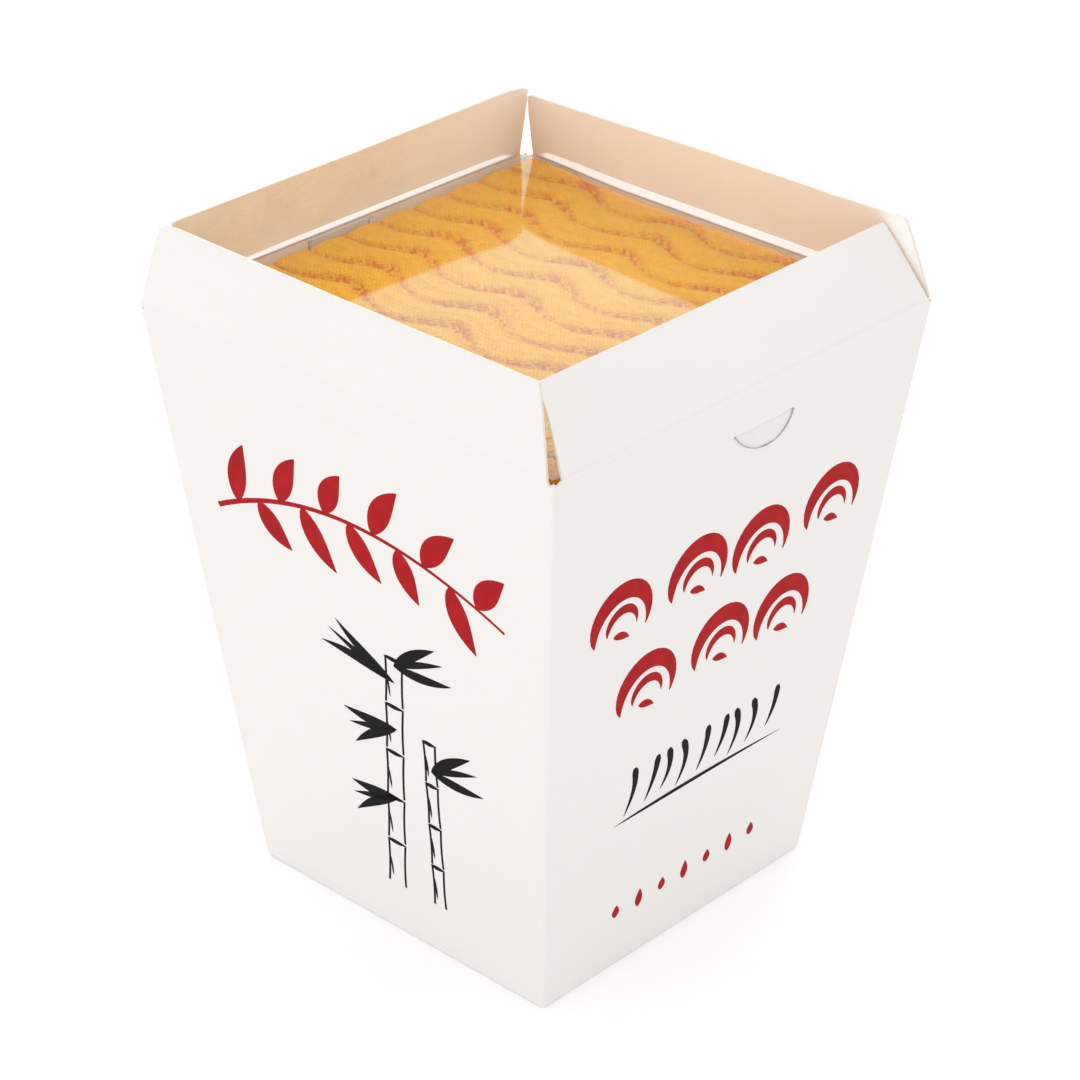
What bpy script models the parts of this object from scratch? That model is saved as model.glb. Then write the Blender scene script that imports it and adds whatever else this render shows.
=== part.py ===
"""Square noodle takeaway carton: a tapered board box, white outside and kraft inside, with four collar flaps
folded up from its top crease, a clear film lid tucked into slits below the crease, and a folded pair of
wave-knit yellow socks, which imitate noodles, as its contents.

Metres, +Z up. The origin is the middle of the base, on the surface that the carton stands on. The front
faces -Y, and each side is first drawn as the front and then turned about Z.
"""

import math

import bmesh
import bpy
from mathutils import Matrix, Vector

# Carton body: outer sizes of a square frustum that widens from its base to the crease of the collar
BASE_SIDE = 0.076
CREASE_SIDE = 0.104
CREASE_HEIGHT = 0.1218
BOARD = 0.0005
CORNER_RADIUS = 0.0015
BASE_EDGE_RADIUS = 0.0007
CORNER_STEPS = 5

# Collar flaps: the hinge line lies in the middle of the board, and the lower edge is round about it
FLAP_HEIGHT = 0.0168
FLAP_FOOT_LENGTH = 0.1016
FLAP_TOP_LENGTH = 0.0940
FLAP_TOP_CORNER_RADIUS = 0.0010
CREASE_CLEARANCE = 0.00013
RELIEF_HOLE_RADIUS = 0.0006

# Slits that the film's tongues pass through
SLIT_LENGTH = 0.0240
SLIT_WIDTH = 0.00030
TONGUE_SLIT_WIDTH = 0.00046
SLIT_SLANT = math.radians(45)

# Clear film lid: a plate level with the crease, a low lip along each flap, and two tongues
FILM = 0.00025
FILM_HALF_SIDE = 0.0510
FILM_CORNER_CUT = 0.0030
FILM_TOP = 0.1219
TONGUE_FILM = 0.00020
TONGUE_LENGTH_ALONG_SIDE = 0.0185
TONGUE_TIP_RADIUS = 0.00925
TONGUE_TIP_DEPTH = 0.0057
TONGUE_CLEARANCE = 0.00015
TONGUE_BEND_RADIUS = 0.0010

# Folded socks: they fill the carton to just under the film, and their top is knitted in waving ribs
SOCK_GAP = 0.0008
SOCK_FLOOR_GAP = 0.0003
SOCK_TOP = 0.1207
SOCK_EDGE_RADIUS = 0.0032
SOCK_CORNER_RADIUS = 0.0060
RIB_PITCH = 0.0094
RIB_DEPTH = 0.0011
RIB_PHASE = -0.0051
WAVE_LENGTH = 0.0267
WAVE_AMPLITUDE = 0.0027
WAVE_PHASE = 0.0120
SOCK_GRID_X = 60
SOCK_GRID_Y = 44

# Each side: turn about Z from the front, how far the flap leans in, where the slit is, the lip's height and
# lean, and the tongue's place along the side, if it has one
SIDES = {
    "front": dict(turn=0, lean=31.0, slit_shift=0.0033, slit_drop=0.0086, lip=0.0010, lip_lean=27, tongue=0.0044),
    "right": dict(turn=90, lean=15.5, slit_shift=0.0, slit_drop=0.0066, lip=0.0015, lip_lean=8, tongue=None),
    "back": dict(turn=180, lean=14.5, slit_shift=0.0015, slit_drop=0.0086, lip=0.0008, lip_lean=8, tongue=0.0015),
    "left": dict(turn=270, lean=6.0, slit_shift=-0.0020, slit_drop=0.0066, lip=0.0010, lip_lean=2, tongue=None),
}

WALL_SLOPE = (CREASE_SIDE - BASE_SIDE) / 2 / CREASE_HEIGHT
WALL_TILT = math.atan(WALL_SLOPE)
HINGE_OUT = CREASE_SIDE / 2 - BOARD / 2
HINGE_HEIGHT = CREASE_HEIGHT - BOARD / 10
BODY_TOP = HINGE_HEIGHT - BOARD / 2 - CREASE_CLEARANCE
FILM_MIDDLE = FILM_TOP - FILM / 2

WHITE_BOARD = (0.92, 0.90, 0.88, 1.0)
CLEAR_FILM = (0.90, 0.93, 0.95, 0.35)
YELLOW_YARN = (0.86, 0.46, 0.08, 1.0)


def collection_named(name):
    collection = bpy.data.collections.new(name)
    bpy.context.scene.collection.children.link(collection)
    return collection


def material_named(name, colour, roughness, transmission=0.0):
    material = bpy.data.materials.new(name)
    material.use_nodes = True
    shader = material.node_tree.nodes["Principled BSDF"]
    shader.inputs["Base Color"].default_value = colour
    shader.inputs["Alpha"].default_value = colour[3]
    shader.inputs["Roughness"].default_value = roughness
    shader.inputs["Metallic"].default_value = 0.0
    shader.inputs["Transmission Weight"].default_value = transmission
    material.diffuse_color = colour
    return material


def object_from(bm, name, collection, material=None):
    mesh = bpy.data.meshes.new(name)
    bm.to_mesh(mesh)
    bm.free()
    obj = bpy.data.objects.new(name, mesh)
    collection.objects.link(obj)
    if material:
        mesh.materials.append(material)
    return obj


def cutter_from(bm, name, collection):
    cutter = object_from(bm, name, collection)
    cutter.hide_render = True
    cutter.display_type = "WIRE"
    return cutter


def turned(side):
    return Matrix.Rotation(math.radians(side["turn"]), 4, "Z")


def wall_out(height):
    """Distance from the carton's axis to the outer face of a side, at this height."""
    return BASE_SIDE / 2 + WALL_SLOPE * height


def wall_in(height):
    return wall_out(height) - BOARD / math.cos(WALL_TILT)


def solidified(obj, thickness, offset):
    shell = obj.modifiers.new("board", "SOLIDIFY")
    shell.thickness = thickness
    shell.offset = offset
    shell.use_even_offset = True
    return shell


def smooth_over(obj, degrees):
    obj.data.shade_smooth()
    obj.data.set_sharp_from_angle(angle=math.radians(degrees))


def carton_body(collection, cutters, material):
    """The base and four panels, as one open shell whose thickness goes inwards."""
    bm = bmesh.new()
    bmesh.ops.create_cone(
        bm,
        cap_ends=True,
        segments=4,
        radius1=wall_out(0) * math.sqrt(2),
        radius2=wall_out(BODY_TOP) * math.sqrt(2),
        depth=BODY_TOP,
        matrix=Matrix.Translation((0, 0, BODY_TOP / 2)) @ Matrix.Rotation(math.pi / 4, 4, "Z"),
    )
    top = max(bm.faces, key=lambda face: face.calc_center_median().z)
    bmesh.ops.delete(bm, geom=[top], context="FACES_ONLY")
    folds = [edge for edge in bm.edges if abs(edge.verts[0].co.z - edge.verts[1].co.z) > BODY_TOP / 2]
    bmesh.ops.bevel(bm, geom=folds, offset=CORNER_RADIUS, segments=CORNER_STEPS, profile=0.5, affect="EDGES")
    base_rim = [edge for edge in bm.edges if max(v.co.z for v in edge.verts) < 1e-6 and not edge.is_boundary]
    bmesh.ops.bevel(bm, geom=base_rim, offset=BASE_EDGE_RADIUS, segments=3, profile=0.5, affect="EDGES")
    body = object_from(bm, "carton_body", collection, material)
    smooth_over(body, 30)
    solidified(body, BOARD, -1.0)
    for name, side in SIDES.items():
        slit_cutter(name, side, cutters)
        relief_hole_cutter(name, side, cutters)
    cut = body.modifiers.new("slits and relief holes", "BOOLEAN")
    cut.operation = "DIFFERENCE"
    cut.operand_type = "COLLECTION"
    cut.collection = cutters
    cut.solver = "EXACT"
    return body


def slit_cutter(name, side, cutters):
    """A thin slab through one panel, slanting down and out as a tongue does that passes through it."""
    height = CREASE_HEIGHT - side["slit_drop"]
    width = TONGUE_SLIT_WIDTH if side["tongue"] is not None else SLIT_WIDTH
    place = Matrix.Translation((side["slit_shift"], -(wall_out(height) + wall_in(height)) / 2, height))
    size = Matrix.Diagonal((SLIT_LENGTH, 8 * BOARD, width * math.cos(SLIT_SLANT), 1.0))
    bm = bmesh.new()
    bmesh.ops.create_cube(bm, size=1.0, matrix=turned(side) @ place @ Matrix.Rotation(SLIT_SLANT, 4, "X") @ size)
    return cutter_from(bm, f"slit_cutter_{name}", cutters)


def relief_hole_cutter(name, side, cutters):
    """A small round hole where the cut between two flaps ends, at the corner right of this side."""
    corner = Vector((wall_out(BODY_TOP), -wall_out(BODY_TOP), BODY_TOP))
    lie_along_diagonal = Matrix.Rotation(math.pi / 4, 4, "Z") @ Matrix.Rotation(math.pi / 2, 4, "X")
    bm = bmesh.new()
    bmesh.ops.create_cone(
        bm,
        cap_ends=True,
        segments=16,
        radius1=RELIEF_HOLE_RADIUS,
        radius2=RELIEF_HOLE_RADIUS,
        depth=12 * BOARD,
        matrix=turned(side) @ Matrix.Translation(corner) @ lie_along_diagonal,
    )
    return cutter_from(bm, f"relief_hole_cutter_{name}", cutters)


def collar_flap(name, side, collection, material):
    """A trapezoid of board above its hinge line, which runs through the object's origin along local X."""
    half = BOARD / 2
    bm = bmesh.new()
    bmesh.ops.create_cube(bm, size=1.0, matrix=Matrix.Diagonal((1.0, BOARD, 1.0, 1.0)))
    for vertex in bm.verts:
        is_top = vertex.co.z > 0
        length = FLAP_TOP_LENGTH if is_top else FLAP_FOOT_LENGTH
        vertex.co.x = math.copysign(length / 2, vertex.co.x)
        vertex.co.z = FLAP_HEIGHT if is_top else -half
    top_corners = [
        edge
        for edge in bm.edges
        if min(v.co.z for v in edge.verts) > half and abs(edge.verts[0].co.x - edge.verts[1].co.x) < half
    ]
    bmesh.ops.bevel(bm, geom=top_corners, offset=FLAP_TOP_CORNER_RADIUS, segments=4, profile=0.5, affect="EDGES")
    foot = [
        edge
        for edge in bm.edges
        if max(v.co.z for v in edge.verts) < 0 and abs(edge.verts[0].co.x - edge.verts[1].co.x) > half
    ]
    bmesh.ops.bevel(bm, geom=foot, offset=0.96 * half, segments=4, profile=0.5, affect="EDGES")
    flap = object_from(bm, f"flap_{name}", collection, material)
    smooth_over(flap, 40)
    flap.location = turned(side) @ Vector((0, -HINGE_OUT, HINGE_HEIGHT))
    flap.rotation_euler = (-math.radians(side["lean"]), 0, math.radians(side["turn"]))
    return flap


def film_tray(collection, material):
    """The level plate with a low lip folded up along each side and its corners cut off."""
    end = FILM_HALF_SIDE - FILM_CORNER_CUT
    bm = bmesh.new()
    plate = []
    lips = []
    for side in SIDES.values():
        turn = turned(side)
        lean = math.radians(side["lip_lean"])
        out = FILM_HALF_SIDE - side["lip"] * math.sin(lean)
        up = FILM_MIDDLE + side["lip"] * math.cos(lean)
        foot = [bm.verts.new(turn @ Vector((x, -FILM_HALF_SIDE, FILM_MIDDLE))) for x in (-end, end)]
        rim = [bm.verts.new(turn @ Vector((x, -out, up))) for x in (end - side["lip"], side["lip"] - end)]
        plate += foot
        lips.append(foot + rim)
    bm.faces.new(plate)
    for corners in lips:
        bm.faces.new(list(reversed(corners)))
    bmesh.ops.recalc_face_normals(bm, faces=bm.faces)
    tray = object_from(bm, "film_lid", collection, material)
    solidified(tray, FILM, 0.0)
    return tray


def tongue_path(side):
    """Outward distance and height of the tongue's middle: over the plate's edge, down inside the panel, out
    through the slit and down the panel's outer face."""
    slit_height = CREASE_HEIGHT - side["slit_drop"]
    offset = TONGUE_CLEARANCE + TONGUE_FILM / 2
    step = (BOARD / 2 + offset) / (1 + WALL_SLOPE)
    tip_height = slit_height - step - TONGUE_TIP_DEPTH

    def inside(height):
        return wall_in(height) - offset

    def outside(height):
        return wall_out(height) + offset

    bend_centre = Vector((inside(FILM_MIDDLE) - TONGUE_BEND_RADIUS, FILM_MIDDLE - TONGUE_BEND_RADIUS))
    path = [Vector((bend_centre.x - TONGUE_BEND_RADIUS, FILM_MIDDLE))]
    for step_number in range(5):
        angle = math.pi / 2 * (1 - step_number / 4)
        path.append(bend_centre + TONGUE_BEND_RADIUS * Vector((math.cos(angle), math.sin(angle))))
    path.append(Vector((inside(slit_height + step), slit_height + step)))
    straight_end = len(path)
    path.append(Vector((outside(slit_height - step), slit_height - step)))
    for step_number in range(1, 9):
        drop = TONGUE_TIP_DEPTH * math.sin(math.pi / 2 * step_number / 8)
        height = slit_height - step - drop
        path.append(Vector((outside(height), height)))
    return path, straight_end, tip_height


def film_tongue(name, side, collection):
    """A strip of film along tongue_path, whose end outside the carton is a half-moon."""
    path, straight_end, tip_height = tongue_path(side)
    columns = 12
    bm = bmesh.new()
    rows = []
    for number, point in enumerate(path):
        half_length = TONGUE_LENGTH_ALONG_SIDE / 2
        if number >= straight_end:
            above_tip = point.y - tip_height
            half_length = math.sqrt(max(0.0, 2 * TONGUE_TIP_RADIUS * above_tip - above_tip**2))
        half_length = max(half_length, TONGUE_TIP_RADIUS / 12)
        rows.append(
            [
                bm.verts.new(
                    turned(side)
                    @ Vector((side["tongue"] + half_length * (2 * column / columns - 1), -point.x, point.y))
                )
                for column in range(columns + 1)
            ]
        )
    for upper, lower in zip(rows, rows[1:]):
        for column in range(columns):
            bm.faces.new((upper[column], lower[column], lower[column + 1], upper[column + 1]))
    bmesh.ops.recalc_face_normals(bm, faces=bm.faces)
    tongue = object_from(bm, f"tongue_{name}", collection)
    solidified(tongue, TONGUE_FILM, 0.0)
    return tongue


def joined(base, additions):
    """The base object with the additions fused on as one closed mesh, its modifiers applied."""
    for addition in additions:
        union = base.modifiers.new(f"join {addition.name}", "BOOLEAN")
        union.operation = "UNION"
        union.object = addition
        union.solver = "EXACT"
    evaluated = base.evaluated_get(bpy.context.evaluated_depsgraph_get())
    fused = bpy.data.meshes.new_from_object(evaluated)
    base.modifiers.clear()
    base.data = fused
    for addition in additions:
        bpy.data.objects.remove(addition)
    return base


def film_lid(collection, material):
    tray = film_tray(collection, material)
    tongues = [film_tongue(name, side, collection) for name, side in SIDES.items() if side["tongue"] is not None]
    return joined(tray, tongues)


def rib_height(x, y):
    """0 on a rib's crown and -RIB_DEPTH in the furrow between two ribs, which wave along Y."""
    wave = WAVE_AMPLITUDE * math.cos(2 * math.pi * (y - WAVE_PHASE) / WAVE_LENGTH)
    across = (x - RIB_PHASE - wave) / RIB_PITCH
    from_crown = abs(2 * (across - math.floor(across)) - 1)
    return -RIB_DEPTH * from_crown**3


def fold_drop(distance):
    """How far the top has rolled down at this distance from its edge."""
    if distance >= SOCK_EDGE_RADIUS:
        return 0.0
    return SOCK_EDGE_RADIUS - math.sqrt(max(0.0, SOCK_EDGE_RADIUS**2 - (SOCK_EDGE_RADIUS - distance) ** 2))


def spread(number, count, half):
    """Grid lines from -half to half, closer together where the top rolls over its edges."""
    ratio = 2 * number / count - 1
    return half * (0.88 * ratio + 0.12 * math.sin(math.pi / 2 * ratio))


def squircle(x, y, half, radius):
    """A point of a square grid moved in so that the square's corners are round."""
    inner = half - radius
    over = Vector((max(abs(x) - inner, 0.0), max(abs(y) - inner, 0.0)))
    if over.x == 0.0 or over.y == 0.0:
        return x, y
    shrink = max(over) / over.length
    return math.copysign(inner + over.x * shrink, x), math.copysign(inner + over.y * shrink, y)


def folded_socks(collection, material):
    """The bundle: a top of waving ribs that rolls over its edges, and sides that follow the carton."""
    edge_height = SOCK_TOP - SOCK_EDGE_RADIUS
    half = wall_in(edge_height) - SOCK_GAP
    bm = bmesh.new()
    grid = []
    for i in range(SOCK_GRID_X + 1):
        column = []
        for j in range(SOCK_GRID_Y + 1):
            flat_x = spread(i, SOCK_GRID_X, half)
            flat_y = spread(j, SOCK_GRID_Y, half)
            x, y = squircle(flat_x, flat_y, half, SOCK_CORNER_RADIUS)
            to_edge = half - max(abs(flat_x), abs(flat_y))
            rolled = fold_drop(to_edge)
            height = SOCK_TOP - rolled + rib_height(x, y) * (1 - rolled / SOCK_EDGE_RADIUS)
            column.append(bm.verts.new((x, y, height)))
        grid.append(column)
    for i in range(SOCK_GRID_X):
        for j in range(SOCK_GRID_Y):
            bm.faces.new((grid[i][j], grid[i + 1][j], grid[i + 1][j + 1], grid[i][j + 1]))
    rim = [edge for edge in bm.edges if edge.is_boundary]
    foot_height = BOARD + SOCK_FLOOR_GAP
    foot_scale = (wall_in(foot_height) - SOCK_GAP) / half
    skirt = bmesh.ops.extrude_edge_only(bm, edges=rim)["geom"]
    foot = [v for v in skirt if isinstance(v, bmesh.types.BMVert)]
    for vertex in foot:
        vertex.co = Vector((vertex.co.x * foot_scale, vertex.co.y * foot_scale, foot_height))
    bmesh.ops.contextual_create(bm, geom=[e for e in skirt if isinstance(e, bmesh.types.BMEdge)])
    bmesh.ops.recalc_face_normals(bm, faces=bm.faces)
    socks = object_from(bm, "folded_socks", collection, material)
    smooth_over(socks, 50)
    return socks


def main():
    for obj in list(bpy.data.objects):
        bpy.data.objects.remove(obj)
    parts = collection_named("noodle takeaway box")
    cutters = collection_named("cutters")
    board = material_named("white_board", WHITE_BOARD, 0.55)
    film = material_named("clear_film", CLEAR_FILM, 0.08, transmission=0.9)
    yarn = material_named("yellow_yarn", YELLOW_YARN, 0.95)
    carton_body(parts, cutters, board)
    for name, side in SIDES.items():
        collar_flap(name, side, parts, board)
    film_lid(parts, film)
    folded_socks(parts, yarn)


main()
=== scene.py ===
"""A square noodle takeaway carton with its folded, wave-knit socks under a clear film lid.

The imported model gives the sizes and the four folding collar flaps. This script dresses it: printed board that
bends at its scored creases, kraft inside, a film that mirrors the collar, and a knit of real stitches.
Lengths are in metres, +Z is up, and each side is drawn as the front (-Y) and turned about Z.
"""

import math
from collections import namedtuple

import bmesh
import bpy
from bpy.props import FloatProperty, FloatVectorProperty, IntProperty, PointerProperty
from mathutils import Matrix, Vector


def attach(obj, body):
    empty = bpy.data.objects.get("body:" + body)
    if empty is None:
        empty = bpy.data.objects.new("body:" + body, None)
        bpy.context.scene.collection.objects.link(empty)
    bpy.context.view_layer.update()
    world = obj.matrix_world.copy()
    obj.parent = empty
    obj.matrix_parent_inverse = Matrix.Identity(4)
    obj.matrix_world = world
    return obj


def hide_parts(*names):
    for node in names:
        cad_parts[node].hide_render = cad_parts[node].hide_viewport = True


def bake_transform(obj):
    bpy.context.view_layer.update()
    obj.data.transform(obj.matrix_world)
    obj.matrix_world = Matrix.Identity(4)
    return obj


bl_info = {
    "name": "Noodle Takeaway Carton",
    "version": (1, 0, 0),
    "blender": (4, 5, 0),
    "location": "3D View > Sidebar > Carton",
    "description": "Builds a folded board carton, its film lid, its print and the knitted socks in it",
    "category": "Add Mesh",
}

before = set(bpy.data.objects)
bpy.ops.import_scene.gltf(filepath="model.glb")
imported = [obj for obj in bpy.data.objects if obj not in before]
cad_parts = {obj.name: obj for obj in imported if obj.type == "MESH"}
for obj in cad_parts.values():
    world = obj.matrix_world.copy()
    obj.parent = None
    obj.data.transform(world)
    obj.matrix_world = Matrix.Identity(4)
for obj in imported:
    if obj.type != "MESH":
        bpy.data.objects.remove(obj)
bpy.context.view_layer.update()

MM = 0.001
TAU = 2 * math.pi

# Carton: half its outer width at the base and at the crease, and the crease's height
BASE_HALF = 38.0 * MM
CREASE_HALF = 52.0 * MM
CREASE_HEIGHT = 121.8 * MM
WALL_TILT = math.atan((CREASE_HALF - BASE_HALF) / CREASE_HEIGHT)

# Collar flaps: slant height, half the length of the strip at the seam with the body, how deep a rounded
# corner is cut at most, and the depth and half width of the nick in a rim
FLAP_HEIGHT = 16.8 * MM
SEAM_HALF = 50.7 * MM
CORNER_DEPTH = 1.9 * MM
NICK_DEPTH = 0.4 * MM
NICK_HALF = 1.1 * MM

# Body: the radius of its foot, how much higher than the seam its upright folds end, how far they are hollowed
# there, and the panels' slits: half length, height of the gap, and how far the board over it stands out
BASE_ROUND = 0.7 * MM
FOLD_RISE = 0.5 * MM
FOLD_HOLLOW = 0.2 * MM
SLIT_HALF = 12.0 * MM
SLIT_GAP = 0.22 * MM
SLIT_LIP = 0.12 * MM

# Film: how far it sags and rises to its back edge, the radius of its fold and the cut across its corners
FILM_SAG = 0.42 * MM
FILM_RISE = 0.8 * MM
FILM_FOLD = 0.4 * MM
FILM_CUT = 1.0 * MM

# Film tongues: half length at the slit, radius and depth of the half-moon, how it leans sideways, how far the
# tongue steps down through the slit, and the radius of its bend under the film
TONGUE_HALF = 8.2 * MM
TIP_RADIUS = 9.1 * MM
TIP_DEPTH = 5.2 * MM
TIP_SKEW = 0.32
TONGUE_STEP = 0.45 * MM
TONGUE_BEND = 1.0 * MM

# Knit: the height at which it fills the carton, the radii of its plan's corners, where a wave's bulge lies,
# and the levels of its hidden sides
KNIT_LEVEL = 120.5 * MM
FRONT_CORNER = 16.0 * MM
KNIT_CORNER = 4.5 * MM
BULGE = 5.6 * MM
TUCKED_LEVELS = (108 * MM, 80 * MM, 50 * MM, 20 * MM, 2.5 * MM)

# One end of a flap: its reach at the crease and at the rim, the radius of its upper corner, how much higher
# it stands there, and how far its edge is hollowed half-way up
End = namedtuple("End", "crease rim radius rise waist")


def end_mm(crease, rim, radius, rise=0.0, waist=0.0):
    return End(crease * MM, rim * MM, radius * MM, rise * MM, waist * MM)


# One side: its turn about Z, its flap's lean inwards and two ends, its slit's middle, how far the slit lies
# below the crease, how far the board over it is pushed out, the film's lip and its lean, the middle of the
# film's tongue, how far the flap bows, and where its rim is nicked
Side = namedtuple("Side", "turn lean low high slit slit_drop slit_push lip lip_lean tongue bow nick")
PLAIN_END = end_mm(50.6, 47.0, 1.0)
SIDES = {
    "front": Side(
        turn=0, lean=31.0, low=end_mm(49.7, 47.1, 0.6, waist=0.6), high=PLAIN_END,
        slit=3.3 * MM, slit_drop=8.6 * MM, slit_push=0.45 * MM, lip=1.0 * MM, lip_lean=27,
        tongue=4.4 * MM, bow=0.15 * MM, nick=None,
    ),
    "right": Side(
        turn=90, lean=15.5, low=end_mm(51.3, 48.4, 1.2, rise=0.3), high=end_mm(49.4, 47.5, 1.4, rise=-1.4),
        slit=0.0, slit_drop=6.6 * MM, slit_push=0.2 * MM, lip=1.4 * MM, lip_lean=8,
        tongue=None, bow=-0.2 * MM, nick=-30.5 * MM,
    ),
    "back": Side(
        turn=180, lean=14.5, low=end_mm(49.8, 48.0, 9.0, rise=0.9), high=PLAIN_END,
        slit=1.5 * MM, slit_drop=8.6 * MM, slit_push=0.3 * MM, lip=0.8 * MM, lip_lean=8,
        tongue=1.5 * MM, bow=0.15 * MM, nick=None,
    ),
    "left": Side(
        turn=270, lean=6.0, low=end_mm(51.6, 47.5, 4.5, rise=0.6), high=end_mm(50.4, 47.0, 0.6),
        slit=-2.0 * MM, slit_drop=6.6 * MM, slit_push=0.35 * MM, lip=1.0 * MM, lip_lean=2,
        tongue=None, bow=-0.2 * MM, nick=None,
    ),
}

# How strongly a painted highlight brightens the outside of each flap
FLAP_PAINTED_HIGHLIGHT = {"front": 0.85, "right": 0.3, "back": 0.3, "left": 0.5}

WHITE = (1.0, 1.0, 1.0, 1.0)


class CartonSettings(bpy.types.PropertyGroup):
    board: FloatProperty(
        name="Board", description="Thickness of the board", default=0.5 * MM, unit="LENGTH"
    )
    corner: FloatProperty(
        name="Corner radius", description="Outer radius of the upright folds", default=0.6 * MM, unit="LENGTH"
    )
    crease: FloatProperty(
        name="Crease radius", description="Outer radius of the bend at a scored crease", default=0.6 * MM,
        unit="LENGTH",
    )
    seam: FloatProperty(
        name="Seam", description="How far below the crease a collar piece begins", default=0.6 * MM,
        unit="LENGTH",
    )
    bow: FloatProperty(
        name="Bow", description="How far a full panel swells in its middle", default=0.3 * MM, unit="LENGTH"
    )
    white: FloatVectorProperty(
        name="Board white", description="Colour of the coated outside", default=(0.824, 0.80, 0.776),
        subtype="COLOR",
    )
    kraft: FloatVectorProperty(
        name="Kraft", description="Colour of the uncoated inside", default=(0.81, 0.73, 0.58), subtype="COLOR"
    )


class FilmSettings(bpy.types.PropertyGroup):
    thickness: FloatProperty(
        name="Film", description="Thickness of the clear film", default=0.22 * MM, unit="LENGTH"
    )
    half_side: FloatProperty(
        name="Half side", description="From the middle of the film to its fold", default=50.9 * MM,
        unit="LENGTH",
    )
    height: FloatProperty(
        name="Height", description="Height at which the film would lie without its sag", default=121.78 * MM,
        unit="LENGTH",
    )
    mirror: FloatProperty(
        name="Mirror", description="Share of light that each face of the film mirrors head-on", default=0.031
    )


class KnitSettings(bpy.types.PropertyGroup):
    wale: FloatProperty(
        name="Wale", description="Width of one column of stitches", default=1.1 * MM, unit="LENGTH"
    )
    course: FloatProperty(
        name="Course", description="Height of one row of stitches", default=0.95 * MM, unit="LENGTH"
    )
    pitch: FloatProperty(
        name="Rib pitch", description="Distance between two furrows", default=9.35 * MM, unit="LENGTH"
    )
    depth: FloatProperty(
        name="Rib depth", description="Depth of a furrow under the crown of a rib", default=1.25 * MM,
        unit="LENGTH",
    )
    wave: FloatProperty(
        name="Wave length", description="Length of one wave of a rib", default=26.9 * MM, unit="LENGTH"
    )
    sway: FloatProperty(
        name="Sway", description="How far a rib swings to either side", default=2.5 * MM, unit="LENGTH"
    )
    crown: FloatProperty(
        name="Crown height", description="Height of the ribs' crowns", default=120.6 * MM, unit="LENGTH"
    )
    seed: IntProperty(name="Seed", description="Seed of the stitches' unevenness", default=7)
    yarn: FloatVectorProperty(
        name="Yarn", description="Colour of the yarn on a crown", default=(0.98, 0.455, 0.004),
        subtype="COLOR",
    )
    # Painted shade: the colour that stands in for the shadow down in a furrow.
    furrow_shade: FloatVectorProperty(
        name="Furrow", description="Colour of the yarn in a furrow", default=(0.74, 0.145, 0.001),
        subtype="COLOR",
    )


class PrintSettings(bpy.types.PropertyGroup):
    ink: FloatProperty(
        name="Ink", description="Height of the ink over the board", default=0.03 * MM, unit="LENGTH"
    )
    red: FloatVectorProperty(
        name="Red ink", description="Colour of the red brush marks", default=(0.40, 0.006, 0.008),
        subtype="COLOR",
    )
    black: FloatVectorProperty(
        name="Black ink", description="Colour of the black brush marks", default=(0.004, 0.004, 0.005),
        subtype="COLOR",
    )


class StageSettings(bpy.types.PropertyGroup):
    azimuth: FloatProperty(
        name="Azimuth", description="Turn of the camera round the carton", default=math.radians(-47.31),
        subtype="ANGLE",
    )
    elevation: FloatProperty(
        name="Elevation", description="Angle that the camera looks down", default=math.radians(28.6),
        subtype="ANGLE",
    )
    roll: FloatProperty(
        name="Roll", description="Turn of the camera about its view", default=math.radians(0.52),
        subtype="ANGLE",
    )
    distance: FloatProperty(
        name="Distance", description="From the camera to the carton's axis", default=656.2 * MM, unit="LENGTH"
    )
    lens: FloatProperty(name="Lens", description="Focal length in millimetres", default=113.9)
    sky: FloatProperty(name="Sky", description="Strength of the white surroundings", default=0.95)
    back_light: FloatProperty(
        name="Back light", description="Power of the wide light behind, which the film mirrors", default=6.9
    )
    fill_light: FloatProperty(
        name="Fill light", description="Power of the small light that brightens the opening", default=0.03
    )
    left_light: FloatProperty(
        name="Left light", description="Power of the soft light on the left", default=2.0
    )


GROUPS = {
    "carton_board": CartonSettings,
    "carton_film": FilmSettings,
    "carton_knit": KnitSettings,
    "carton_print": PrintSettings,
    "carton_stage": StageSettings,
}


class Field:
    """A node's output that takes part in Python arithmetic, which adds Math nodes to its tree."""

    def __init__(self, graph, node, output):
        self.graph = graph
        self.node = node
        self.socket = output

    def other(self, name):
        return Field(self.graph, self.node, self.node.outputs[name])

    def math(self, operation, *values):
        return self.graph.node("ShaderNodeMath", {"operation": operation}, dict(enumerate(values)))

    def __add__(self, value):
        return self.math("ADD", self, value)

    def __radd__(self, value):
        return self.math("ADD", value, self)

    def __rsub__(self, value):
        return self.math("SUBTRACT", value, self)

    def __mul__(self, value):
        return self.math("MULTIPLY", self, value)

    def __pow__(self, value):
        return self.math("POWER", self, value)


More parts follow.
